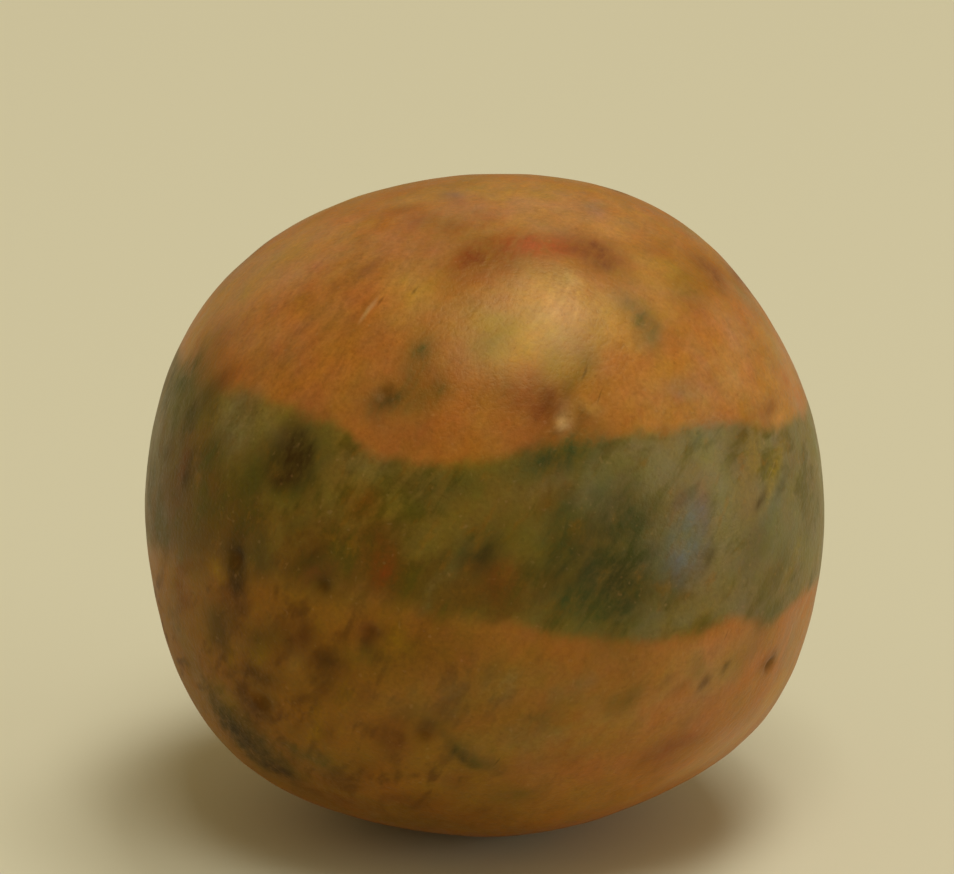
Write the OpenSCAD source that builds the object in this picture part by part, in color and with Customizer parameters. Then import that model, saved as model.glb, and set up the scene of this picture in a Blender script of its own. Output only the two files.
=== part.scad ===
// Hand-rolled pottery marble: one solid ball of fired clay, rubbed smooth and a little out of round.
// The origin is the middle of the ball. +Z is up, +X is to the right, and -Y is the front.
// A place on the ball is a heading and an elevation, in degrees: heading 0 is the front,
// 90 the right side, 180 the back, and elevation 90 is the top.

/* [Ball] */
// Width of the ball from left to right, before the lumps
ball_width = 19.1; // [12:0.1:40]
// Depth of the ball from front to back, before the lumps
ball_depth = 19.0; // [12:0.1:40]
// Height of the ball, which the palms pressed a little flat
ball_height = 18.6; // [12:0.1:40]
// Fullness of the shoulders: 0 is a true ellipsoid, and more is squarer
shoulder_fullness = 0.05; // [0:0.01:0.15]

/* [Hand shaping] */
// How strongly the palms marked the ball: 0 leaves no lumps, and 1 is as rolled
lump_strength = 1; // [0:0.1:2]

/* [Pits] */
// How far every pit is opened: 1 is as fired, and more is worn wider
pit_wear = 1; // [0.5:0.1:1.5]

/* [Mesh] */
// Rings of facets between a pole and the equator
fineness = 30; // [8:1:36]

/* [Hidden] */

// Lumps and flats left by rolling: heading, elevation, spread in degrees, and height in mm.
// A flat has a height below 0, and the spread is where a lump has sunk to about a third.
lumps = [
  [-75, -40, 20, 0.36],   // fullest shoulder, low on the left
  [78, -33, 18, 0.24],
  [-100, 28, 24, 0.08],
  [-88, -5, 20, 0.06],
  [116, 52, 20, 0.10],
  [102, 32, 18, -0.16],   // flat side on the right
  [58, -59, 16, -0.16],   // flats beside the underside
  [-30, -70, 18, -0.08],
  [24, 36, 16, 0.08],     // the front: low swellings with shallow troughs between them
  [-22, 26, 18, -0.08],
  [36, -4, 20, 0.08],
  [-40, -14, 20, -0.06],
  [6, -32, 16, -0.08],
  [160, 10, 26, -0.16],   // the back: two broad thumb flats and two swellings
  [-150, -28, 22, -0.16],
  [135, -42, 20, 0.12],
  [-165, 30, 20, 0.10],
  [-140, 62, 20, -0.12],
];

// Pits where grit fell out or the skin chipped: heading, elevation, and width and depth in mm.
pits = [
  [14, 31, 0.60, 0.10],    // the front: a chip above the band, and pits in and below it
  [57, -18, 0.60, 0.12],
  [-44, 4, 0.70, 0.10],
  [-27, 3, 0.50, 0.10],
  [-19, -4, 0.60, 0.10],
  [-20, 35, 0.50, 0.09],
  [-42, -21, 0.80, 0.12],
  [-11, -23, 0.60, 0.09],
  [124, 18, 0.90, 0.14],   // the sides and back
  [170, -20, 1.00, 0.16],
  [-140, 12, 0.80, 0.12],
  [-110, -30, 0.90, 0.14],
];
pit_sides = 48;

// Unit vector from the middle of the ball towards a place on it.
function towards(heading, elevation) = [
  cos(elevation) * sin(heading),
  -cos(elevation) * cos(heading),
  sin(elevation)
];

// Height that one lump adds in the direction u: a bell that falls away from the lump's middle.
function lump_height(u, lump) =
  lump[3] * exp((u * towards(lump[0], lump[1]) - 1) / (1 - cos(lump[2])));

function sum(values, i = 0) = i < len(values) ? values[i] + sum(values, i + 1) : 0;

// Distance from the middle to the skin of a true ellipsoid, in the direction u.
function ellipsoid_radius(u) =
  1 / norm([u.x * 2 / ball_width, u.y * 2 / ball_depth, u.z * 2 / ball_height]);

// Share that the shoulders add: none along the three axes, and most halfway between them.
function shoulder(u) = shoulder_fullness * (1 - pow(u.x, 4) - pow(u.y, 4) - pow(u.z, 4));

function skin_radius(u) =
  ellipsoid_radius(u) * (1 + shoulder(u))
  + lump_strength * sum([for (lump = lumps) lump_height(u, lump)]);

function skin_point(heading, elevation) =
  let (u = towards(heading, elevation)) skin_radius(u) * u;

// The skin is eight curved triangles, four above the equator and four below. Ring 0 is the top,
// and each ring has one more side in every quarter than its neighbour nearer the pole.
last_ring = 2 * fineness;
function quarter_sides(ring) = min(ring, last_ring - ring);
function ring_points(ring) = max(1, 4 * quarter_sides(ring));
ring_start = [
  for (ring = 0, start = 0; ring <= last_ring; start = start + ring_points(ring), ring = ring + 1)
    start
];

// Number of a point in the list of all points, counted round its ring from the front.
function point_at(ring, place) = ring_start[ring] + place % ring_points(ring);

// Facets between a ring and its neighbour nearer the pole, in one quarter of the ball.
// They are turned so that they face outwards: `above` is true on the upper half.
function quarter_facets(wide, narrow, quarter, above) =
  let (
    sides = quarter_sides(wide),
    wide_first = quarter * sides,
    narrow_first = quarter * (sides - 1)
  )
  [
    for (i = [0:sides - 1])
      let (
        left = point_at(wide, wide_first + i),
        right = point_at(wide, wide_first + i + 1),
        tip = point_at(narrow, narrow_first + i),
        tip_next = point_at(narrow, narrow_first + i + 1)
      )
      each concat(
        [above ? [right, left, tip] : [left, right, tip]],
        i == sides - 1 ? [] : [above ? [right, tip, tip_next] : [right, tip_next, tip]]
      )
  ];

module rolled_ball() {
  points = [
    for (ring = [0:last_ring], place = [0:ring_points(ring) - 1])
      skin_point(360 * place / ring_points(ring), 90 - 90 * ring / fineness)
  ];
  facets = [
    for (step = [1:fineness], quarter = [0:3])
      each concat(
        quarter_facets(step, step - 1, quarter, true),
        quarter_facets(last_ring - step, last_ring - step + 1, quarter, false)
      )
  ];
  polyhedron(points, facets);
}

// The tool that opens a pit: a ball whose cap has the pit's width and depth at the skin.
module pit_cutter(pit) {
  width = pit[2] * pit_wear;
  depth = pit[3] * pit_wear;
  cutter_radius = (pow(width / 2, 2) + pow(depth, 2)) / (2 * depth);
  u = towards(pit[0], pit[1]);
  translate((skin_radius(u) + cutter_radius - depth) * u)
    sphere(r = cutter_radius, $fn = pit_sides);
}

module marble() {
  color("peru")
    difference() {
      rolled_ball();
      for (pit = pits) pit_cutter(pit);
    }
}

marble();
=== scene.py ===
"""A hand-rolled pottery marble: one ball of fired clay with a green band, on a plain pale floor."""
import math

import bpy
import numpy as np
from mathutils import Matrix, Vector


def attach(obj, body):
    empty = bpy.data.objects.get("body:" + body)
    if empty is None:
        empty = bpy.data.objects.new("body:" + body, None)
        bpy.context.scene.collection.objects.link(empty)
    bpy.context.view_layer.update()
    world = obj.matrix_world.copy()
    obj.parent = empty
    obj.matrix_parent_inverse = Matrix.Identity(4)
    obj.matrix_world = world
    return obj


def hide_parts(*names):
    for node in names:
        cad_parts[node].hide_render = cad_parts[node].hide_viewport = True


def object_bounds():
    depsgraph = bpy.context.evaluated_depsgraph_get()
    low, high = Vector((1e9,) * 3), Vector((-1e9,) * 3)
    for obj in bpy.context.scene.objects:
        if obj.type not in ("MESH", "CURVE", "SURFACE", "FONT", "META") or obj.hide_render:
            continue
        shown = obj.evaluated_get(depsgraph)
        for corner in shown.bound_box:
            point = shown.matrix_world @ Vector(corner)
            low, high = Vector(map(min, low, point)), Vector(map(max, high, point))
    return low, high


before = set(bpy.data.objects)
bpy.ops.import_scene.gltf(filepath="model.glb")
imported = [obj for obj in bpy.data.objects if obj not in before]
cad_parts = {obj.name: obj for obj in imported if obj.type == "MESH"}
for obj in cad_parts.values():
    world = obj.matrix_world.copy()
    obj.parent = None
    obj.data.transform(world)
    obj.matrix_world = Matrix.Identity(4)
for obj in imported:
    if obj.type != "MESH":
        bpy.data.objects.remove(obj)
cad_low, cad_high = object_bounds()

# ---------------------------------------------------------------- the clay ball
# One lump of clay, rolled between the palms until nearly round, banded with green while still wet,
# then fired and rubbed smooth. Its skin is an ellipsoid with fuller shoulders, lumps and flats that
# the palms left, and a few pits where grit fell out or the skin chipped.

MM = 0.001
BALL = np.array([19.1, 19.0, 18.6])  # width, depth and height before the lumps, in mm
MEAN_RADIUS = BALL.mean() / 2
SHOULDER_FULLNESS = 0.05
# A place on the ball is a heading and an elevation in degrees: heading 0 is the front, 90 the right
# side, and elevation 90 the top.
LUMPS = [  # heading, elevation, spread in degrees, height in mm
    (-75, -40, 20, 0.36),
    (78, -33, 18, 0.24),
    (-100, 28, 24, 0.08),
    (-88, -5, 20, 0.06),
    (116, 52, 20, 0.10),
    (102, 32, 18, -0.16),
    (58, -59, 16, -0.16),
    (-30, -70, 18, -0.08),
    (24, 36, 16, 0.08),
    (-22, 26, 18, -0.08),
    (36, -4, 20, 0.08),
    (-40, -14, 20, -0.06),
    (6, -32, 16, -0.08),
    (160, 10, 26, -0.16),
    (-150, -28, 22, -0.16),
    (135, -42, 20, 0.12),
    (-165, 30, 20, 0.10),
    (-140, 62, 20, -0.12),
]
PITS = [  # heading, elevation, width and depth in mm
    (14, 31, 0.60, 0.10),
    (57, -18, 0.60, 0.12),
    (-44, 4, 0.70, 0.10),
    (-27, 3, 0.50, 0.10),
    (-19, -4, 0.60, 0.10),
    (-20, 35, 0.50, 0.09),
    (-42, -21, 0.80, 0.12),
    (-11, -23, 0.60, 0.09),
    (124, 18, 0.90, 0.14),
    (170, -20, 1.00, 0.16),
    (-140, 12, 0.80, 0.12),
    (-110, -30, 0.90, 0.14),
]
SWELLS = [(0.012, 3.2, 48), (0.004, 1.1, 96)]  # height and length in mm, and how many waves
FACE_CELLS = 128  # cells along each side of the six squares that make the skin


def towards(heading, elevation):
    """Unit vector from the middle of the ball towards a heading and an elevation, in degrees."""
    h, e = np.radians(heading), np.radians(elevation)
    return np.stack([np.cos(e) * np.sin(h), -np.cos(e) * np.cos(h), np.sin(e)], -1)


def round_grid(cells):
    """Unit vectors and four-sided faces that cover a ball evenly: the six sides of a cube, each a
    grid of two angles from -45 to 45 degrees, blown out from the middle, and merged where they
    meet."""
    angle = np.radians(np.linspace(-45, 45, cells + 1))
    right, up = np.meshgrid(np.tan(angle), np.tan(angle))
    flat = np.stack([right, up, np.ones_like(right)], -1).reshape(-1, 3)
    x, y, z = np.eye(3)
    sides = [(y, z, x), (z, x, y), (x, y, z), (z, y, -x), (x, z, -y), (y, x, -z)]
    u = np.concatenate([flat @ np.array(side) for side in sides])
    u /= np.linalg.norm(u, axis=1, keepdims=True)
    corner = np.arange(cells * (cells + 1)).reshape(cells, cells + 1)[:, :-1].ravel()
    square = np.stack([corner, corner + 1, corner + cells + 2, corner + cells + 1], -1)
    faces = np.concatenate([square + i * len(flat) for i in range(6)])
    _, first, index = np.unique(u.round(9), axis=0, return_index=True, return_inverse=True)
    return u[first], index.reshape(-1)[faces]


def skin_radius(u):
    """Distance in mm from the middle to the skin before the pits: the ellipsoid's radius, raised
    between the three axes by the fullness, plus a bell for every lump."""
    radius = 1 / np.linalg.norm(u * 2 / BALL, axis=-1)
    radius = radius * (1 + SHOULDER_FULLNESS * (1 - (u**4).sum(-1)))
    for heading, elevation, spread, height in LUMPS:
        nearness = (u @ towards(heading, elevation) - 1) / (1 - np.cos(np.radians(spread)))
        radius = radius + height * np.exp(nearness)
    return radius


def waves(u, length, seed, count=48):
    """A smooth random field over the ball, about -1 to 1: many plane waves, each 0.7 to 1.4 waves
    to a length in mm, with seeded directions and phases, added together."""
    rng = np.random.default_rng(seed)
    way = rng.normal(size=(3, count))
    way *= rng.uniform(0.7, 1.4, count) / np.linalg.norm(way, axis=0)
    phase = rng.uniform(0, 2 * np.pi, count)
    turns = u @ way * MEAN_RADIUS / length
    return np.cos(2 * np.pi * turns + phase).sum(-1) / np.sqrt(count)


def sunk(u):
    """Depth in mm of the pits: each is deepest in its middle and rises to a rounded rim, as the
    power 1.5 of 1 less the squared share of the way to its rim."""
    depth = np.zeros(len(u))
    for heading, elevation, width, deepest in PITS:
        middle = towards(heading, elevation)
        gap = np.linalg.norm(u - middle, axis=1) * skin_radius(middle)
        depth = np.maximum(depth, deepest * np.clip(1 - (gap / width * 2) ** 2, 0, 1) ** 1.5)
    return depth


u, faces = round_grid(FACE_CELLS)
smooth = skin_radius(u)
# The part's skin is made of coarser facets, so this finer one is brought to the part's own box.
fit = np.array(cad_high - cad_low) / np.ptp(u * smooth[:, None] * MM, axis=0)
relief = sum(height * waves(u, length, seed, count)
             for seed, (height, length, count) in enumerate(SWELLS, 1))
places = u * (smooth + relief - sunk(u))[:, None] * MM * fit

mesh = bpy.data.meshes.new("marble_skin")
mesh.from_pydata(places, [], faces)
mesh.polygons.foreach_set("use_smooth", np.ones(len(faces), bool))
mesh.update()
ball = bpy.data.objects.new("marble_skin", mesh)
bpy.context.scene.collection.objects.link(ball)

# Where the colours lie. The green band was laid round the ball while the clay was wet, so its two
# edges wander. A mark is heading, elevation, length and width in mm, lean of its long side in
# degrees from level, and strength.

BAND_TOP = [  # heading, elevation
    (-81, 28), (-59, 30), (-46, 30), (-34, 29), (-27, 29), (-21, 25), (-13, 24), (0, 25), (9, 27),
    (24, 27), (33, 27), (43, 26), (50, 25), (57, 22), (67, 21), (87, 19), (112, 17), (140, 21),
    (168, 24), (195, 29), (225, 31), (252, 27),
]
BAND_FOOT = [
    (-79, -4), (-65, -1), (-49, 2), (-36, 2), (-19, 2), (-10, 0), (6, -2), (13, -4), (21, -5),
    (29, -7), (37, -6), (41, -5), (46, -6), (53, -9), (60, -8), (69, -8), (95, -12), (122, -9),
    (150, -5), (178, -7), (205, -3), (232, -8), (258, -6),
]
MARKS = {
    # broad fields, which only lean the mixture of colours one way
    "ochre_and_highlight": [
        # the field at heading 10, elevation 47 is partly a painted highlight: paler clay where the
        # lamps' highlight falls
        (20, 80, 8.0, 6.0, 0, 0.8), (10, 47, 4.2, 3.4, 50, 1.0), (-17, 54, 2.6, 2.0, 40, 0.7),
        (62, 40, 6.0, 4.0, 60, 0.4), (46, 48, 5.0, 3.0, 20, 0.8), (66, -24, 5.0, 2.4, 60, 0.8),
        (5, -42, 5.0, 2.2, 0, 0.6), (62, 21, 3.0, 1.4, 20, 0.8), (33, 32, 3.4, 2.2, 60, 0.6),
        (-5, -38, 4.0, 2.0, 0, 0.5), (-120, 60, 6.0, 4.0, 20, 0.7), (160, 48, 5.0, 3.0, 70, 0.7),
        (-160, -35, 6.0, 4.0, 10, 0.6),
    ],
    "tan": [
        (-78, 46, 8.0, 4.0, 60, 1.3), (-50, 62, 3.0, 2.0, 60, 0.2), (-54, 40, 3.0, 2.0, 40, 0.5),
        (60, 34, 8.0, 5.0, 0, 0.6), (42, 47, 3.0, 2.4, 60, 0.5), (78, 30, 5.0, 5.0, 0, 0.6),
        (20, 76, 9.0, 5.0, 0, 0.9), (52, -36, 5.0, 2.2, 40, 0.8), (14, -14, 4.0, 2.0, 0, 0.4),
        (40, -14, 4.4, 2.4, 20, 0.8), (62, -15, 4.0, 3.0, 60, 0.5), (-75, -12, 4.0, 3.0, 80, 0.6),
        (120, -45, 6.0, 4.0, 0, 0.6), (-140, 40, 6.0, 3.0, 0, 0.6),
    ],
    "earth": [
        (-45, -22, 12.0, 10.0, 0, 1.3), (-10, -18, 8.0, 7.0, 0, 1.0), (-12, -44, 9.0, 5.0, 0, 1.0),
        (-35, -2, 9.0, 3.4, 0, 1.1), (-5, -8, 5.0, 2.4, 0, 0.7), (20, -12, 6.0, 3.4, 0, 0.5),
        (38, -14, 3.0, 2.0, 0, 0.2), (32, -34, 4.0, 2.4, 20, 0.4), (15, -28, 4.0, 1.8, 20, 0.6),
        (47, -13, 3.0, 1.4, 20, 0.5), (22, -40, 6.0, 2.4, 0, 0.4), (-85, -25, 8.0, 8.0, 0, 0.8),
        (150, -40, 9.0, 7.0, 0, 0.8), (-150, 58, 7.0, 5.0, 20, 0.5),
    ],
    "umber": [
        (-38, -7, 7.0, 3.0, 0, 0.6), (-14, -6, 5.0, 2.4, 0, 0.6), (-14, -47, 7.0, 3.0, 0, 0.5),
        (-50, -24, 4.0, 5.0, 0, 0.4), (150, -20, 5.0, 3.0, 20, 0.6), (-130, -18, 6.0, 3.0, 0, 0.6),
    ],
    "mottled": [
        (-40, -16, 10.0, 7.0, 30, 1.0), (-70, -20, 6.0, 6.0, 0, 0.8), (-14, -34, 7.0, 4.0, 0, 0.75),
        (0, -14, 7.0, 3.0, 0, 0.55), (24, -30, 9.0, 5.0, 0, 0.35), (150, -34, 8.0, 6.0, 0, 0.8),
        (-150, 52, 6.0, 4.5, 20, 0.6), (-115, -35, 8.0, 6.0, 0, 0.7),
    ],
    "bark": [
        (-56, 8, 9.0, 5.0, 0, 1.2), (-28, 8, 6.0, 3.0, 0, 1.0), (-5, 4, 7.0, 2.4, 0, 1.0),
        (13, 16, 2.4, 1.4, 60, 0.8), (30, 3, 3.0, 1.2, 20, 0.7), (140, 12, 7.0, 4.0, 0, 0.8),
        (-120, 8, 8.0, 4.0, 0, 0.7), (105, -2, 4.0, 2.0, 20, 0.8), (-95, 14, 4.0, 3.0, 70, 0.7),
    ],
    "stone": [
        (50, 10, 9.0, 8.0, 0, 1.0), (30, -3, 4.0, 2.0, 0, 0.8), (25, 21, 3.6, 2.0, 10, 1.3),
        (88, 5, 8.0, 7.0, 0, 0.8), (-80, 12, 3.0, 8.0, 0, 0.8), (-160, 14, 7.0, 5.0, 0, 0.8),
    ],
    "frayed": [
        (-55, -1, 9.0, 5.0, 0, 1.0), (-22, 2, 7.0, 4.0, 0, 1.0), (-66, 30, 6.0, 4.0, 0, 0.8),
    ],
    "rubbed": [
        (-42, 42, 9.0, 5.0, 40, 1.1), (62, -26, 8.0, 5.0, 50, 0.6), (150, 40, 8.0, 5.0, 40, 0.8),
        (-130, -30, 8.0, 5.0, 40, 0.6),
    ],
    # stains and streaks with a place of their own, some of them partly painted highlight and
    # reflection
    # partly a painted highlight: the pale patch below the red arc is paler clay with the lamps'
    # highlight painted into it; the one low on the left is clay only
    "buff_and_highlight": [
        (17, 50, 3.0, 2.4, 60, 0.85), (16, 45, 1.1, 0.9, 0, 1.0), (6, 51, 2.0, 1.4, 40, 0.3),
        (24, 56, 1.6, 1.2, 0, 0.7), (11, 54, 1.6, 1.2, 20, 0.4), (18, 33, 0.7, 0.6, 0, 0.4),
        (-33, -11, 0.8, 0.5, 60, 0.2),
    ],
    "flame": [
        (-15, 28, 3.6, 1.9, 15, 1.1), (-3, 30, 3.8, 2.0, 15, 1.1), (0, 34, 2.4, 1.2, 20, 0.3),
        (42, 42, 1.5, 1.1, 30, 1.3), (43, 45, 0.8, 0.8, 40, 0.9), (58, 45, 0.8, 0.6, 0, 0.5),
        (-52, 32, 2.2, 1.0, -20, 0.6), (39, -23, 2.0, 1.2, 40, 0.6), (12, -9, 2.4, 0.9, 0, 0.5),
        (-12, 39, 1.0, 1.6, 0, 0.5), (20, -28, 2.6, 1.6, 0, 0.4), (7, 31, 2.6, 1.8, 0, 0.9),
        (-28, 48, 3.0, 2.0, 60, 0.3), (-7, -42, 1.6, 0.9, 0, 0.25), (50, -11, 1.6, 0.8, 10, 0.5),
        (36, 38, 1.2, 0.8, 60, 0.4),
    ],
    "rust": [
        (0, 63, 3.4, 1.9, 42, 0.9), (-4, 58, 2.0, 1.4, 45, 0.45), (11, 67, 2.2, 1.1, 15, 0.8),
        (-16, 71, 2.8, 2.2, 70, 0.5), (-35, 72, 1.8, 1.4, 60, 0.5), (-58, 73, 1.4, 0.8, 60, 0.5),
        (65, 57, 1.6, 1.0, 0, 0.25), (9, 36, 2.4, 1.3, -15, 0.65), (12, 34, 1.7, 1.2, 40, 0.8),
        (-17, 9, 1.2, 1.1, 70, 0.7), (-16, 6, 1.3, 1.0, 70, 0.8), (2, 6, 1.4, 1.1, 60, 0.8),
        (23, 18, 1.4, 1.0, 60, 0.35), (36, -29, 2.0, 1.1, 20, 0.7), (-62, 15, 1.2, 0.6, 80, 0.6),
        (-60, -5, 1.4, 0.9, 60, 0.5), (-58, 31, 0.8, 0.7, 60, 0.7), (-4, -33, 1.6, 0.9, 30, 0.4),
        (-12, 28, 2.6, 1.0, 10, 0.25), (-22, 17, 1.2, 0.8, 60, 0.4),
    ],
    "brown": [
        (-32, -7, 1.3, 1.0, 50, 1.0), (-26, -11, 1.6, 1.2, 40, 0.9), (-28, -15, 1.3, 0.8, 60, 0.8),
        (-10, -21, 1.4, 0.6, 55, 0.9), (-7, -17, 1.3, 0.6, 50, 0.8), (-15, -20, 1.3, 0.8, 60, 0.7),
        (-17, -24, 1.4, 0.9, 75, 0.9), (-31, -37, 1.5, 1.0, 20, 0.9), (-49, -9, 1.6, 1.1, 60, 0.9),
        (-45, -1, 1.3, 0.8, 80, 1.0), (-46, -4, 1.2, 0.6, 85, 0.8), (-42, -15, 2.0, 1.0, 20, 0.8),
        (-38, -8, 1.4, 0.9, 50, 0.5), (-21, -15, 1.2, 0.7, 60, 0.4), (-36, -25, 1.6, 0.8, 50, 0.5),
        (-29, -24, 1.3, 0.6, 65, 0.5), (-24, -32, 1.5, 0.8, 40, 0.5), (-58, -14, 2.0, 1.2, 80, 0.2),
        (-5, -34, 1.6, 0.8, 20, 0.4), (-52, 3, 1.6, 1.0, 60, 0.5), (-16, -40, 2.2, 1.0, 10, 0.5),
        (-36, -43, 2.4, 1.2, 0, 0.5), (-40, -33, 1.6, 0.8, 50, 0.4), (-33, -18, 1.0, 0.6, 60, 0.5),
        (-44, -22, 1.8, 1.2, 30, 0.9), (-41, -16, 1.4, 0.9, 25, 0.6), (-47, -20, 1.2, 0.7, 60, 0.7),
    ],
    "pink": [
        (26, 64, 2.4, 1.2, -22, 0.95), (17, 66, 1.4, 1.0, 10, 0.6), (43, 41, 0.9, 0.7, 30, 0.35),
        (18, 34, 0.8, 0.5, 20, 0.2), (38, 16, 1.0, 0.5, 60, 0.3), (-29, 48, 1.4, 0.8, 60, 0.2),
    ],
    "plum": [
        (40, 61, 2.0, 1.4, -75, 1.0), (39, 56, 1.4, 1.0, -60, 0.4), (48, 62, 1.2, 0.8, 0, 0.5),
        (-52, 82, 1.1, 0.8, 0, 0.35), (76, 48, 1.8, 1.0, 10, 0.9), (61, 25, 1.1, 0.6, 15, 0.6),
        (54, 25, 1.4, 0.7, 10, 0.3), (39, -16, 0.6, 0.35, 62, 0.8), (31, -14, 0.4, 0.3, 60, 0.6),
        (15, 33, 0.8, 0.6, 60, 0.4), (33, 15, 0.8, 0.4, 60, 0.7), (28, 9, 0.8, 0.7, 60, 0.4),
        (-38, 57, 0.9, 0.5, 60, 0.6), (-19, -4, 0.7, 0.8, 60, 0.7), (-28, 5, 1.0, 0.8, 60, 0.7),
        (0, -29, 1.1, 0.5, -42, 0.4),
    ],
    "sage_and_reflection": [
        # partly a painted reflection: the pale patch at heading 2, elevation 46 is the front lamp's
        # reflection painted in; the others are grey-green clay
        (-50, 25, 1.9, 1.4, 25, 1.1), (-42, 27, 2.2, 1.0, 0, 0.9), (42, 19, 1.6, 0.8, 60, 0.7),
        (4, -12, 0.9, 0.6, 60, 0.6), (14, -14, 1.2, 0.8, 30, 0.6), (30, -17, 1.2, 0.8, 60, 0.4),
        (-19, 23, 2.0, 0.8, 0, 0.3), (-9, 4, 1.4, 0.3, 62, 0.3), (-5, 8, 1.2, 0.4, 62, 0.3),
        (-64, -12, 1.4, 0.9, 80, 0.4), (-37, -31, 1.2, 0.7, -10, 0.2), (84, 40, 2.0, 1.0, -60, 0.6),
        (2, 46, 2.2, 1.6, 35, 0.4), (17, 42, 1.8, 1.2, 50, 0.5), (15, -22, 6.0, 3.0, 20, 0.4),
        (42, -17, 4.0, 2.2, 40, 0.35), (-3, -15, 5.0, 2.0, 10, 0.3), (24, 22, 2.2, 1.3, 30, 0.8),
        (86, 10, 1.2, 3.0, 0, 0.5), (34, -3, 1.6, 0.8, 48, 0.3),
    ],
    "slate_and_reflection": [
        # partly a painted reflection: the blue-grey patches at headings 25 to 35, low on the band,
        # are the side lamp's reflection painted in; the others are blue-grey clay
        (35, 12, 1.6, 1.4, 60, 0.95), (33, 8, 1.8, 1.6, 60, 0.95), (25, 9, 1.8, 2.2, 0, 0.35),
        (32, 6, 0.7, 0.6, 0, 0.6), (41, 25, 1.4, 0.7, 0, 0.35), (37, 46, 1.2, 0.8, 82, 0.2),
        (39, 33, 1.2, 0.8, 0, 0.3), (-52, 83, 0.7, 0.5, 0, 0.3), (76, 71, 1.0, 0.7, 0, 0.45),
        (54, 10, 2.8, 1.0, 40, 0.4),
    ],
    "gold": [
        (-48, 1, 0.8, 0.6, 0, 0.9), (-15, -5, 1.0, 0.8, 65, 0.5), (57, 16, 2.0, 0.5, 34, 0.7),
        (52, 19, 1.8, 0.6, 36, 0.4), (-53, -24, 1.2, 0.8, 60, 0.5), (-24, -15, 1.0, 0.8, 60, 0.4),
        (-50, 48, 0.6, 0.5, 0, 0.6), (-30, -20, 1.2, 0.8, 60, 0.3), (-31, -24, 1.2, 0.7, 60, 0.5),
        (-2, -33, 1.2, 0.8, 0, 0.4), (-40, 28, 2.2, 0.8, 0, 0.6), (1, 46, 1.6, 1.2, 35, 0.1),
        (17, 41, 1.2, 1.0, 40, 0.3), (-40, -12, 0.9, 0.6, 30, 0.6), (-22, -9, 1.0, 0.8, 60, 0.5),
        (-47, -14, 0.9, 0.5, 40, 0.5), (60, -1, 1.8, 0.5, 40, 0.4), (36, -4, 1.8, 0.5, 40, 0.35),
        (33, -1, 1.6, 0.5, 48, 0.3),
    ],
    "moss": [
        (-53, -32, 3.2, 2.2, -60, 1.1), (-47, -35, 2.2, 1.4, -40, 0.8),
        (-52, 20, 1.2, 1.0, 60, 0.6), (-44, 17, 2.2, 1.4, 50, 0.7), (-35, 17, 1.2, 0.9, 20, 0.8),
        (59, 48, 2.8, 1.2, 16, 0.5), (85, 43, 1.4, 0.9, -60, 0.2), (-10, 36, 1.2, 0.9, 60, 0.6),
        (-12, 34, 1.4, 0.8, 20, 0.35), (24, -17, 1.2, 0.9, 40, 0.7), (11, -19, 1.8, 1.2, 40, 0.5),
        (37, -13, 0.7, 0.5, 60, 0.6), (20, 39, 1.8, 0.6, 60, 0.6), (22, 38, 1.4, 0.9, 60, 0.2),
        (-38, -31, 1.8, 1.0, -10, 0.7), (-33, -32, 1.0, 0.6, 30, 0.6), (52, -7, 1.4, 1.0, 30, 0.9),
        (36, -5, 1.4, 0.7, 20, 0.8), (-2, 20, 2.4, 1.2, 40, 0.5), (48, 22, 1.2, 0.6, 20, 0.6),
        (48, 5, 2.2, 1.1, 45, 0.7), (54, -1, 2.0, 0.9, 40, 0.8), (6, -38, 1.4, 0.9, 20, 0.6),
        (-52, 10, 1.2, 1.4, 60, 0.7), (-20, -8, 0.8, 0.8, 60, 0.7), (1, 45, 1.2, 1.0, 30, 0.25),
        (-50, -9, 1.6, 1.4, 60, 0.4), (-40, -9, 1.2, 1.2, 60, 0.5), (-62, -20, 1.4, 1.6, 60, 0.4),
        (4, 14, 1.6, 1.2, 60, 0.5), (-12, 14, 1.6, 1.0, 60, 0.4), (70, 5, 2.2, 1.6, 50, 0.5),
        (34, -1, 1.8, 1.2, 50, 0.3),
    ],
    "green": [
        (13, 25, 2.6, 1.3, 8, 1.0), (22, 12, 3.6, 2.6, 85, 0.8), (20, 1, 3.0, 1.8, 10, 0.95),
        (19, 6, 2.2, 1.6, 60, 0.9), (21, 5, 3.0, 2.6, 80, 1.3), (16, 3, 2.4, 1.8, 30, 1.0),
        (14, 12, 2.6, 1.8, 60, 0.85), (23, 13, 2.2, 1.8, 80, 1.0), (-73, 27, 2.6, 1.8, 70, 0.7),
        (-43, 20, 1.2, 1.0, 60, 0.4), (-54, 19, 1.2, 0.8, 60, 0.4), (-39, 6, 1.2, 0.8, 60, 0.45),
        (-50, -34, 1.6, 1.2, 60, 0.15), (-56, -29, 1.8, 1.2, -60, 0.1),
        (-33, -32, 0.8, 0.4, 60, 0.3), (-4, -27, 2.0, 0.6, -42, 0.65),
        (-19, 34, 1.6, 1.0, 40, 0.65), (-14, 40, 1.9, 0.9, 85, 0.65), (-10, 36, 2.0, 0.8, 85, 0.3),
        (38, 46, 1.6, 0.8, 82, 0.6), (39, 43, 1.0, 0.6, 82, 0.6), (-1, 10, 2.0, 1.4, 40, 0.7),
        (-63, 24, 2.2, 1.2, 75, 0.5), (-6, 21, 1.6, 0.9, 20, 0.5), (-34, 22, 2.2, 2.0, 60, 0.6),
        (-70, 22, 2.0, 1.0, 80, 0.5), (128, 8, 4.0, 2.6, -40, 0.6), (-165, 8, 4.4, 2.6, 30, 0.7),
        (-125, 18, 3.0, 2.0, 60, 0.6), (98, 14, 2.4, 1.4, -20, 0.5),
    ],
    "dark": [
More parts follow.
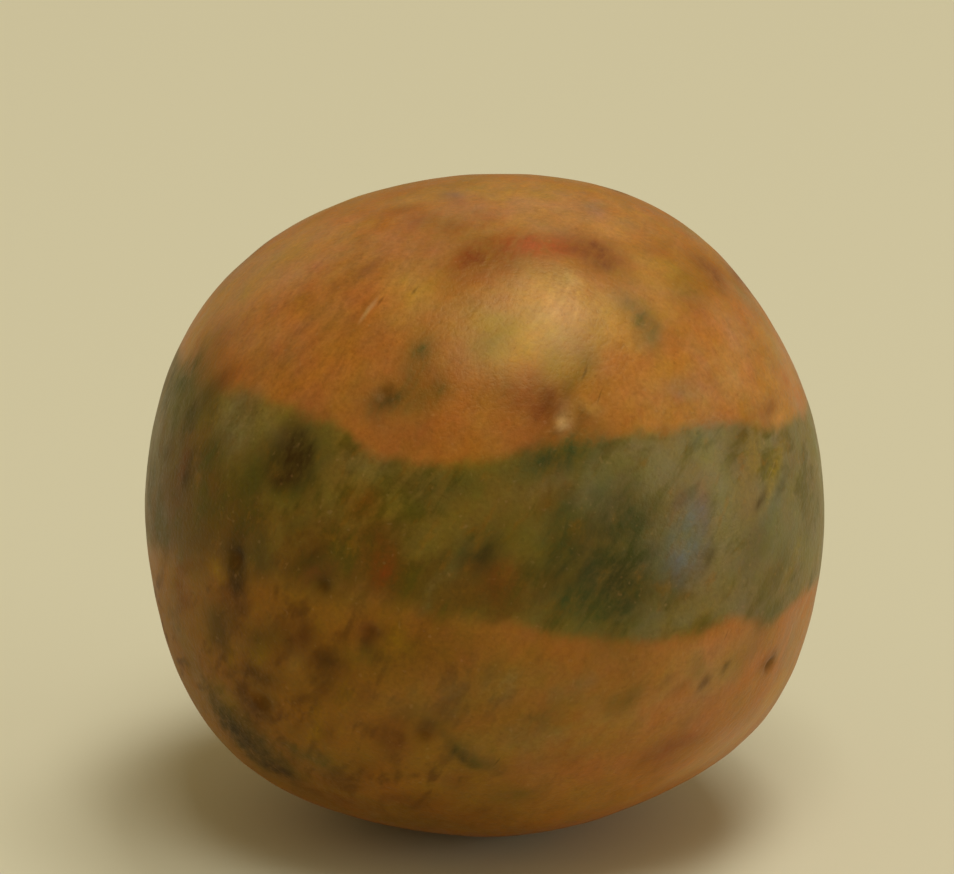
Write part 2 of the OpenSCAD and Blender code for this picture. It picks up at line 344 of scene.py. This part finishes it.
        (-34, 23, 1.5, 1.4, 60, 0.88), (-35, 20, 1.0, 0.9, 60, 0.8), (-61, 28, 1.8, 1.4, 60, 0.4),
        (-64, 25, 2.0, 1.2, 70, 0.35), (-44, 5, 1.3, 0.8, 88, 0.95), (-44, 2, 1.5, 0.7, 88, 0.95),
        (-27, 3, 0.7, 0.6, 80, 0.8), (-29, 7, 0.9, 0.5, 60, 0.4), (0, 10, 1.2, 0.8, 40, 0.5),
        (-19, -5, 0.8, 0.7, 70, 0.5), (-19, 34, 0.7, 0.6, 60, 0.4), (-41, -16, 1.1, 0.6, 25, 0.35),
        (-44, -23, 0.9, 0.6, 25, 0.45), (-47, -21, 0.8, 0.35, 80, 0.35),
        (-49, -38, 1.6, 1.0, -20, 0.9), (-52, -33, 2.4, 1.4, -60, 0.9),
        (-5, -27, 1.3, 0.3, -42, 0.5), (57, -17, 0.7, 0.6, 40, 0.7), (43, -14, 0.6, 0.3, 50, 0.55),
        (39, -16, 0.6, 0.3, 50, 0.35), (34, -16, 0.5, 0.3, 50, 0.3), (51, 12, 0.7, 0.3, 38, 0.9),
        (38, 6, 0.6, 0.3, 48, 0.7), (60, 14, 1.4, 0.25, 32, 0.25), (-60, 14, 1.0, 0.7, 80, 0.6),
        (21, 5, 2.2, 1.8, 80, 0.45), (20, 11, 2.6, 2.0, 80, 0.3), (14, 8, 1.8, 1.4, 40, 0.3),
        (24, 14, 1.2, 0.9, 60, 0.2), (17.6, 31.4, 0.7, 0.3, 68, 0.65),
        (18.5, 31, 0.6, 0.4, 60, 0.3), (12, 33, 0.9, 0.6, 70, 0.35), (13, 29, 0.6, 0.3, 20, 0.4),
        (-26, -10, 0.8, 0.5, 40, 0.4), (-32, 12, 0.7, 0.5, 60, 0.4), (-70, 15, 1.4, 0.8, 80, 0.25),
        (-48, 28, 1.0, 0.6, 0, 0.2), (14, 6, 1.4, 1.0, 40, 0.35), (1, 4, 0.8, 0.6, 40, 0.3),
    ],
    "chip": [(14.2, 30.8, 0.7, 0.42, 60, 0.64)],
}
SCRATCHES = [  # scratches and splits are too fine for the grid, so the material draws them
    (-30, 49, 1.3, 0.24, 80, 1.3), (56, 16, 1.1, 0.08, 34, 0.5), (18, 47, 0.9, 0.10, 58, 0.4),
    (14, 48, 0.5, 0.09, 70, 0.4),
]
SPLITS = [
    (-28, 51, 0.6, 0.14, 78, 0.7), (-20, 54, 0.5, 0.16, 76, 0.7), (2, -29, 0.6, 0.07, 62, 0.8),
    (20, 38, 0.8, 0.14, 60, 0.7), (22, 34, 0.7, 0.07, 60, 0.6), (42, -8, 0.5, 0.08, 62, 0.6),
]
STREWN = {  # how many more marks of a kind lie over the sides and back
    "dark": 18, "green": 14, "moss": 20, "rust": 14, "flame": 14, "plum": 10, "gold": 14,
    "sage_and_reflection": 10, "slate_and_reflection": 6, "pink": 4, "brown": 20,
}
STREWN_HEADINGS = (95, 262)
STREWN_HEIGHTS = (-0.9, 0.95)  # as shares of the ball's radius
STREWN_LENGTHS = (0.5, 2.2)  # mm
STEEPEST_LEAN = 52
SWIRLS = [(0.12, 2.4, 10), (0.05, 0.9, 20)]  # push and length in mm, and the first seed


def strewn(count, seed):
    """Marks strewn at random, from a seed, evenly over the sides and back. They lean as the strokes
    do there: halfway up at the front and back, and level at the sides."""
    rng = np.random.default_rng(seed)
    rows = []
    for _ in range(count):
        heading = rng.uniform(*STREWN_HEADINGS)
        length = rng.uniform(*STREWN_LENGTHS)
        lean = STEEPEST_LEAN * math.cos(math.radians(heading)) + rng.uniform(-20, 20)
        elevation = math.degrees(math.asin(rng.uniform(*STREWN_HEIGHTS)))
        width = length * rng.uniform(0.3, 0.7)
        rows.append((heading, elevation, length, width, lean, rng.uniform(0.3, 0.9)))
    return rows


def wandering(points, heading):
    """Elevation of a line round the ball at each heading: straight between the points, then
    averaged over 5 degrees to round its corners."""
    whole = np.arange(-180, 180)
    corner, height = np.array(points).T
    line = np.interp(whole, corner, height, period=360)
    line = sum(np.roll(line, shift) for shift in range(-2, 3)) / 5
    return np.interp(heading, whole, line, period=360)


def stirred(u):
    """Points in mm on a round ball in the directions u, pushed about a little in two sizes of
    swirl, so that what is laid out on them has an outline made by hand."""
    push = [sum(far * waves(u, length, seed + i) for far, length, seed in SWIRLS) for i in range(3)]
    return u * MEAN_RADIUS + np.stack(push, -1)


def spread_of(marks, swirled):
    """Strength of a kind of mark at each of the stirred points: for each mark a bell that falls to
    about a third at the ends of its length and width, and the strongest where they meet."""
    total = np.zeros(len(swirled))
    for heading, elevation, length, width, lean, strength in marks:
        middle = towards(heading, elevation)
        level = towards(heading + 90, 0)
        up = np.cross(middle, level)
        c, s = np.cos(np.radians(lean)), np.sin(np.radians(lean))
        gap = swirled - stirred(middle[None])
        along, across = gap @ (c * level + s * up), gap @ (c * up - s * level)
        out = gap @ middle / MEAN_RADIUS
        bell = np.exp(-((along / length * 2) ** 2) - (across / width * 2) ** 2 - (out * 2) ** 2)
        total = np.maximum(total, strength * bell)
    return total


for seed, (name, count) in enumerate(STREWN.items()):
    MARKS[name] = MARKS[name] + strewn(count, seed)
swirled = stirred(u)
headings = np.degrees(np.arctan2(u[:, 0], -u[:, 1]))
elevations = np.degrees(np.arcsin(u[:, 2].clip(-1, 1)))
below_top = wandering(BAND_TOP, headings) - elevations
above_foot = elevations - wandering(BAND_FOOT, headings)

# The strength of each kind of mark, how far inside the band each point lies in mm, and how far down
# a pit it lies, as a share of the deepest, all go onto the mesh for the material to read.
fields = {name: spread_of(marks, swirled) for name, marks in MARKS.items()}
fields["band"] = np.radians(np.minimum(below_top, above_foot)) * MEAN_RADIUS
fields["sunk"] = sunk(u) / max(depth for _, _, _, depth in PITS)
for name, values in fields.items():
    mesh.attributes.new(name, "FLOAT", "POINT").data.foreach_set("value", values.astype(np.float32))

# The finish: the clay's own mottle and the stains in it, drawn out by rubbing, over a satin grain,
# with some highlight, reflection and glints painted in as well.
BAND_EDGE = 0.24  # mm that the band's edge takes to fade, on either side of its line
BASE_ROUGHNESS = 0.42
BUMP_HEIGHT = 0.018  # mm


class Shade:
    """One value, vector or colour of a material. Python's operators on it add Math nodes."""

    def __init__(self, tree, socket=None):
        self.tree, self.socket = tree, socket

    def node(self, sort, settings=None, inputs=None, output=0):
        """Adds a node of a sort: its settings are set first, then its sockets, each from a number,
        a colour or another Shade. Gives the node's output."""
        made = self.tree.nodes.new("ShaderNode" + sort)
        for name, value in (settings or {}).items():
            setattr(made, name, value)
        for name, value in (inputs or {}).items():
            if isinstance(value, Shade):
                self.tree.links.new(value.socket, made.inputs[name])
            else:
                made.inputs[name].default_value = value
        return Shade(self.tree, made.outputs[output])

    def math(self, operation, *values):
        """A Math node, which works on plain values."""
        return self.node("Math", {"operation": operation}, dict(enumerate(values)))

    def vector(self, operation, inputs, output=0):
        """A Vector Math node, which works on places and colours."""
        return self.node("VectorMath", {"operation": operation}, inputs, output)

    def __add__(self, other):
        return self.math("ADD", self, other)

    def __sub__(self, other):
        return self.math("SUBTRACT", self, other)

    def __rsub__(self, other):
        return self.math("SUBTRACT", other, self)

    def __mul__(self, other):
        return self.math("MULTIPLY", self, other)

    __radd__, __rmul__ = __add__, __mul__


def noise(at, size, detail=2.0, roughness=0.5, seed=0.0, output=0):
    """Cloudy values around 0.5, with features about as many mm across as size. Each seed moves to
    another part of the noise."""
    moved = at.vector("ADD", {0: at, 1: (19.1 * seed, 7.3 * seed, 13.7 * seed)})
    inputs = {"Vector": moved, "Scale": 1 / size, "Detail": detail, "Roughness": roughness}
    return at.node("TexNoise", {"noise_dimensions": "3D"}, inputs, output)


def pushed(at, size, far, seed):
    """The point at, pushed up to about half of far in mm by cloudy noise of a size in mm."""
    push = at.vector("SUBTRACT", {0: noise(at, size, 1.0, 0.5, seed, "Color"), 1: (0.5, 0.5, 0.5)})
    return at.vector("ADD", {0: at, 1: at.vector("SCALE", {0: push, "Scale": far})})


def rise(value, low, high):
    """0 below low, 1 above high, and a smooth step between."""
    settings = {"interpolation_type": "SMOOTHSTEP"}
    return value.node("MapRange", settings, {"Value": value, "From Min": low, "From Max": high})


def blend(under, over, cover):
    """The colour under, covered by the colour over as far as cover says."""
    settings = {"data_type": "RGBA", "clamp_factor": True}
    return cover.node("Mix", settings, {0: cover, 6: under, 7: over}, 2)


clay = bpy.data.materials.new("fired_clay")
clay.use_nodes = True
shader = clay.node_tree.nodes["Principled BSDF"]
start = Shade(clay.node_tree)
at = start.vector("SCALE", {0: start.node("TexCoord", output="Object"), "Scale": 1 / MM})


def field(name):
    """One of the fields on the mesh, such as the strength of a kind of mark."""
    return start.node("Attribute", {"attribute_name": name}, output="Fac")


# Rubbing strokes. Rings round a tilted axis all lean the same way as seen from the front; near that
# axis's own two ends, rings round another axis at the front take their place.
STROKE_AXIS = (-101, 31)  # heading, elevation
OTHER_AXIS = (0, 18)
bent = pushed(at, 2.6, 0.9, 11.0)
way = start.vector("NORMALIZE", {0: at})
near_end = start.vector("DOT_PRODUCT", {0: way, 1: towards(*STROKE_AXIS)}, "Value")
end = rise(near_end * near_end + (noise(at, 2.0) - 0.5) * 0.5, 0.55, 0.85)


def rings(long, across, detail, axis, seed):
    """Noise drawn out along rings round an axis, of a length and a width in mm."""
    turned = (0, math.radians(90 - axis[1]), math.radians(axis[0] - 90))
    inputs = {"Vector": bent, "Rotation": turned, "Scale": (long, long, across)}
    laid = start.node("Mapping", {"vector_type": "TEXTURE"}, inputs)
    return noise(laid, 1.0, detail, 0.6, seed)


def strokes(long, across, detail, seed):
    """Values around 0, drawn out along the way the ball was rubbed."""
    main = rings(long, across, detail, STROKE_AXIS, seed)
    other = rings(long, across, detail, OTHER_AXIS, seed + 0.5)
    return main + (other - main) * end - 0.5


def fine_lines(lines):
    """Cover of lines too fine for the grid: each is 1 in its middle and 0 outside its oval."""
    total = None
    for heading, elevation, length, width, lean, strength in lines:
        turned = (
            Matrix.Rotation(math.radians(heading), 3, "Z")
            @ Matrix.Rotation(math.radians(90 - elevation), 3, "X")
            @ Matrix.Rotation(math.radians(lean), 3, "Z")
        ).to_euler()
        middle = towards(heading, elevation) * skin_radius(towards(heading, elevation))
        inputs = {"Vector": wavy, "Location": middle, "Rotation": turned,
                  "Scale": (length / 2, width / 2, 1)}
        laid = start.node("Mapping", {"vector_type": "TEXTURE"}, inputs)
        cover = rise(1 - start.vector("LENGTH", {0: laid}, "Value"), 0.0, 0.9) * strength
        total = cover if total is None else total + cover
    return total


# The patterns that the finish is mixed from, from broad daubs down to the grain, with sizes in mm.
cloud = noise(at, 3.0, 2.0, 0.55, 1.0) - 0.5
daub = strokes(2.0, 1.1, 3.0, 5.0)
daub_too = strokes(1.3, 0.7, 3.0, 15.0)
daub_fine = strokes(0.7, 0.4, 3.0, 25.0)
blotch = strokes(1.5, 0.55, 2.0, 35.0)
stroke = strokes(1.2, 0.22, 2.0, 6.0)
grain = noise(at, 0.13, 2.0, 0.6, 4.0) - 0.5
speck = noise(at, 0.15, 0.0, 0.5, 9.0)
tint = noise(at, 1.5, 4.0, 0.65, 3.0, "Color")
ragged = daub_fine * 2.2 + stroke + grain * 0.8
wavy = pushed(at, 0.35, 0.08, 12.0)

# The body's colours
CLAY = (0.375, 0.137, 0.023, 1)
# yellow clay, and also the colour of part of the painted highlight
OCHRE_AND_HIGHLIGHT = (0.460, 0.222, 0.040, 1)
TAN = (0.440, 0.205, 0.062, 1)
SIENNA = (0.320, 0.098, 0.011, 1)
EARTH = (0.272, 0.114, 0.008, 1)
UMBER = (0.114, 0.041, 0.002, 1)
KHAKI = (0.256, 0.122, 0.008, 1)
# The band's
OLIVE = (0.184, 0.117, 0.016, 1)
STONE = (0.186, 0.140, 0.050, 1)
BARK = (0.132, 0.063, 0.005, 1)
# The stains' colours, of which the pale patch's is partly a painted highlight and the grey-green
# and blue-grey partly painted reflections
# pale clay, and the colour of a painted highlight
BUFF_AND_HIGHLIGHT = (0.560, 0.350, 0.105, 1)
CREAM = (0.480, 0.280, 0.120, 1)
GOLD = (0.320, 0.185, 0.002, 1)
FLAME = (0.385, 0.085, 0.010, 1)
RUST = (0.185, 0.039, 0.003, 1)
BROWN = (0.115, 0.038, 0.001, 1)
PINK = (0.370, 0.080, 0.020, 1)
PLUM = (0.165, 0.048, 0.014, 1)
# grey-green clay, and the colour of a painted reflection
SAGE_AND_REFLECTION = (0.215, 0.160, 0.060, 1)
# blue-grey clay, and the colour of a painted reflection
SLATE_AND_REFLECTION = (0.127, 0.125, 0.106, 1)
MOSS = (0.088, 0.065, 0.004, 1)
GREEN = (0.044, 0.053, 0.012, 1)
SOOT = (0.034, 0.014, 0.000, 1)

# The orange body: broad fields first, then the mottle low on the left
# yellow fields, one of them partly a painted highlight
colour = blend(CLAY, OCHRE_AND_HIGHLIGHT, rise(field("ochre_and_highlight") + cloud + daub * 0.7, 0.10, 0.95))
colour = blend(colour, TAN, rise(field("tan") + daub_too * 1.1, 0.10, 0.95))
colour = blend(colour, SIENNA, rise(daub * 0.8 + stroke * 0.3, 0.0, 0.30) * 0.55)
colour = blend(colour, EARTH, rise(field("earth") + daub_too * 0.8, 0.05, 0.85))
colour = blend(colour, UMBER, rise(field("umber") + daub_fine * 0.8, 0.10, 0.95) * 0.8)
mottled = rise(field("mottled") + daub * 0.6, 0.0, 0.8)
spots = rise(blotch + daub_fine * 0.5 + stroke * 0.2, -0.03, 0.24)
colour = blend(colour, UMBER, mottled * spots * 0.85)
colour = blend(colour, KHAKI, mottled * rise(stroke * 0.4 - blotch, 0.0, 0.24) * 0.6)

# The green band, laid over the body
band = blend(OLIVE, STONE, rise(field("stone") + daub * 1.2, 0.15, 0.85))
band = blend(band, BARK, rise(field("bark") + daub_too * 2.0, 0.15, 1.0) * 0.9)
band = blend(band, MOSS, rise(daub_too + cloud * 0.6 + stroke * 0.5, 0.0, 0.24) * 0.8)
band = blend(band, EARTH, rise(stroke * 0.5 - daub_fine, 0.06, 0.28) * 0.4)
edge = (field("band") + daub * 0.4 + daub_too * 0.4 + grain * 0.2) * (1 - field("frayed") * 0.75)
colour = blend(colour, band, rise(edge, -BAND_EDGE, BAND_EDGE))

# The stains and streaks, each kind with its own paint, a painted highlight and painted reflections
# among them, then the pits and the chip
for name, paint, cover in [
    ("buff_and_highlight", BUFF_AND_HIGHLIGHT, 0.8), ("flame", FLAME, 0.95), ("rust", RUST, 0.85), ("brown", BROWN, 0.85),
    ("pink", PINK, 0.9), ("plum", PLUM, 0.8), ("sage_and_reflection", SAGE_AND_REFLECTION, 0.7), ("slate_and_reflection", SLATE_AND_REFLECTION, 0.85),
    ("gold", GOLD, 0.6), ("moss", MOSS, 0.75), ("green", GREEN, 0.85), ("dark", SOOT, 0.9),
]:
    colour = blend(colour, paint, field(name) * (1 + ragged) * cover)
# The pits are darkened, the more the deeper down they go.
colour = blend(colour, UMBER, field("sunk") * 0.7)
colour = blend(colour, CREAM, field("chip") * (1 + ragged * 0.5))

# Scratches and pale specks, which are grit and painted glints, splits and dark specks, then the
# tone and a tinge of every point
glint_and_grit_speck, dark_speck = rise(speck, 0.72, 0.90), 1 - rise(speck, 0.12, 0.27)
colour = blend(colour, CREAM, fine_lines(SCRATCHES) * 0.5 + glint_and_grit_speck * 0.14)
colour = blend(colour, SOOT, fine_lines(SPLITS) * 0.6 + dark_speck * 0.14)
tone = 1 + daub_fine * 0.35 + stroke * (0.25 + field("rubbed") * 0.4) + grain * 0.5
tinge = start.vector("MULTIPLY_ADD", {0: tint, 1: (0.5, 0.5, 1.7), 2: (0.75, 0.75, 0.15)})
colour = start.vector("SCALE", {0: start.vector("MULTIPLY", {0: colour, 1: tinge}), "Scale": tone})
clay.node_tree.links.new(colour.socket, shader.inputs["Base Color"])

roughness = BASE_ROUGHNESS + (daub_fine + grain + field("sunk")) * 0.3 + field("mottled") * 0.2
clay.node_tree.links.new(roughness.socket, shader.inputs["Roughness"])
shader.inputs["Specular IOR Level"].default_value = 0.26
shader.inputs["Specular Tint"].default_value = (1, 0.9, 0.5, 1)
height = daub_fine * 0.8 + stroke * 0.5 + grain * 0.9
raised = {"Height": height, "Strength": 1.0, "Distance": BUMP_HEIGHT * MM}
bump = start.node("Bump", {}, raised)
clay.node_tree.links.new(bump.socket, shader.inputs["Normal"])
mesh.materials.append(clay)

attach(ball, "root")
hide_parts("marble")

# ---------------------------------------------------------------- the studio
# A plain pale floor and pale air, with two broad lamps overhead, one of them towards the front, and
# a broad cool lamp at the right.

FLOOR_RADIUS = 60 * (cad_high.x - cad_low.x)
FLOOR_SIDES = 96
turn = np.linspace(0, 2 * np.pi, FLOOR_SIDES, endpoint=False)
rim = np.stack([np.cos(turn), np.sin(turn), np.zeros_like(turn)], -1) * FLOOR_RADIUS
floor_mesh = bpy.data.meshes.new("floor")
floor_mesh.from_pydata(rim + [0, 0, cad_low.z], [], [range(len(rim))])
floor = bpy.data.objects.new("floor", floor_mesh)
pale_floor = bpy.data.materials.new("pale_floor")
pale_floor.use_nodes = True
floor_shader = pale_floor.node_tree.nodes["Principled BSDF"]
floor_shader.inputs["Base Color"].default_value = (0.71, 0.68, 0.53, 1)
floor_shader.inputs["Roughness"].default_value = 0.8
floor_mesh.materials.append(pale_floor)
bpy.context.scene.collection.objects.link(floor)

LAMP_DISTANCE = 1.00


def lamp(name, way, side, power, colour):
    """A square lamp that faces the ball from a direction, with its side in metres."""
    data = bpy.data.lights.new(name, "AREA")
    data.shape, data.size, data.energy, data.color = "SQUARE", side, power, colour
    made = bpy.data.objects.new(name, data)
    made.location = np.array(way) / np.linalg.norm(way) * LAMP_DISTANCE
    made.rotation_mode = "QUATERNION"
    made.rotation_quaternion = (-made.location).to_track_quat("-Z", "Y")
    bpy.context.scene.collection.objects.link(made)


lamp("overhead", (0.25, 0.06, 0.97), 0.36, 3.0, (1.0, 0.98, 0.88))
lamp("front", (0.08, -0.36, 0.93), 0.40, 2.85, (1.0, 0.98, 0.88))
lamp("side", (0.95, -0.30, 0.06), 0.60, 3.4, (0.95, 1.0, 0.95))

world = bpy.data.worlds.new("pale_air")
world.use_nodes = True
world.node_tree.nodes["Background"].inputs["Color"].default_value = (1.0, 0.82, 0.44, 1)
world.node_tree.nodes["Background"].inputs["Strength"].default_value = 0.33
bpy.context.scene.world = world

CAMERA_DISTANCE = 0.150
CAMERA_ELEVATION = 18  # degrees
camera = bpy.data.objects.new("camera", bpy.data.cameras.new("camera"))
camera.data.lens = 200
camera.data.sensor_width = 36
camera.data.shift_x = -0.0094
camera.data.shift_y = 0.0702
camera.data.clip_start = 0.01
camera.location = towards(0, CAMERA_ELEVATION) * CAMERA_DISTANCE
camera.rotation_euler = (math.radians(90 - CAMERA_ELEVATION), 0, 0)
bpy.context.scene.collection.objects.link(camera)
bpy.context.scene.camera = camera
bpy.context.scene.view_settings.view_transform = "Standard"
